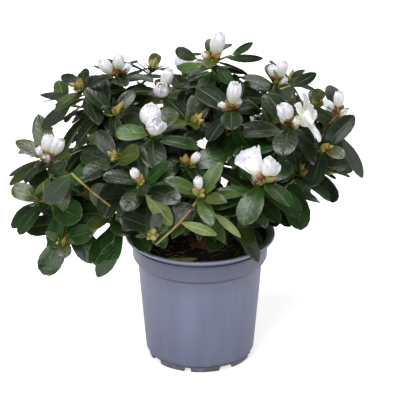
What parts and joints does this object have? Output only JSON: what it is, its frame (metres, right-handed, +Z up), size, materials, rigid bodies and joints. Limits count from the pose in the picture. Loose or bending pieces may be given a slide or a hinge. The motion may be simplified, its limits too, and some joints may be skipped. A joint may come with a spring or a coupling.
{
  "type": "potted shrub",
  "caption": "low spreading potted shrub with leafy whorls and white double flowers on arching boughs, in a round tapered nursery pot with a stepped rim",
  "frame": {"origin": "on the ground, at the middle of the whole plant's box seen from above; the pot's axis stands 13 mm to its right, because the crown reaches further to the left", "axes": "+Z up, -Y the front, +X to the right seen from the front"},
  "size_m": [0.3116, 0.247, 0.2938],
  "materials": {
    "pot": "satin grey-blue moulded polypropylene",
    "soil": "moist dark peat",
    "bark": "rough red-brown bark",
    "foliage": "satin dark green leaves with white blossom"
  },
  "bodies": {
    "root": {"pot": "pot", "soil": "soil", "stem": "bark", "bough_left_tip": "bark", "foliage_left_tip": "foliage", "bough_left_crest": "bark", "foliage_left_crest": "foliage", "bough_mid_crest": "bark", "foliage_mid_crest": "foliage", "bough_front_left_high": "bark", "foliage_front_left_high": "foliage", "bough_front_left": "bark", "foliage_front_left": "foliage", "bough_left": "bark", "foliage_left": "foliage", "bough_front_left_mid": "bark", "foliage_front_left_mid": "foliage", "bough_front": "bark", "foliage_front": "foliage", "bough_middle": "bark", "foliage_middle": "foliage", "bough_top": "bark", "foliage_top": "foliage", "bough_right_crest": "bark", "foliage_right_crest": "foliage", "bough_mid_high": "bark", "foliage_mid_high": "foliage", "bough_right_high": "bark", "foliage_right_high": "foliage", "bough_right_tip": "bark", "foliage_right_tip": "foliage", "bough_front_right": "bark", "foliage_front_right": "foliage", "bough_right_low": "bark", "foliage_right_low": "foliage", "bough_left_low": "bark", "foliage_left_low": "foliage", "bough_front_left_low": "bark", "foliage_front_left_low": "foliage", "bough_front_low": "bark", "foliage_front_low": "foliage", "bough_back_left_high": "bark", "foliage_back_left_high": "foliage", "bough_back_high": "bark", "foliage_back_high": "foliage", "bough_back_right_high": "bark", "foliage_back_right_high": "foliage", "bough_back_left_low": "bark", "foliage_back_left_low": "foliage", "bough_back_low": "bark", "foliage_back_low": "foliage", "bough_back_right_low": "bark", "foliage_back_right_low": "foliage", "bough_right_back": "bark", "foliage_right_back": "foliage"}
  },
  "joints": []
}
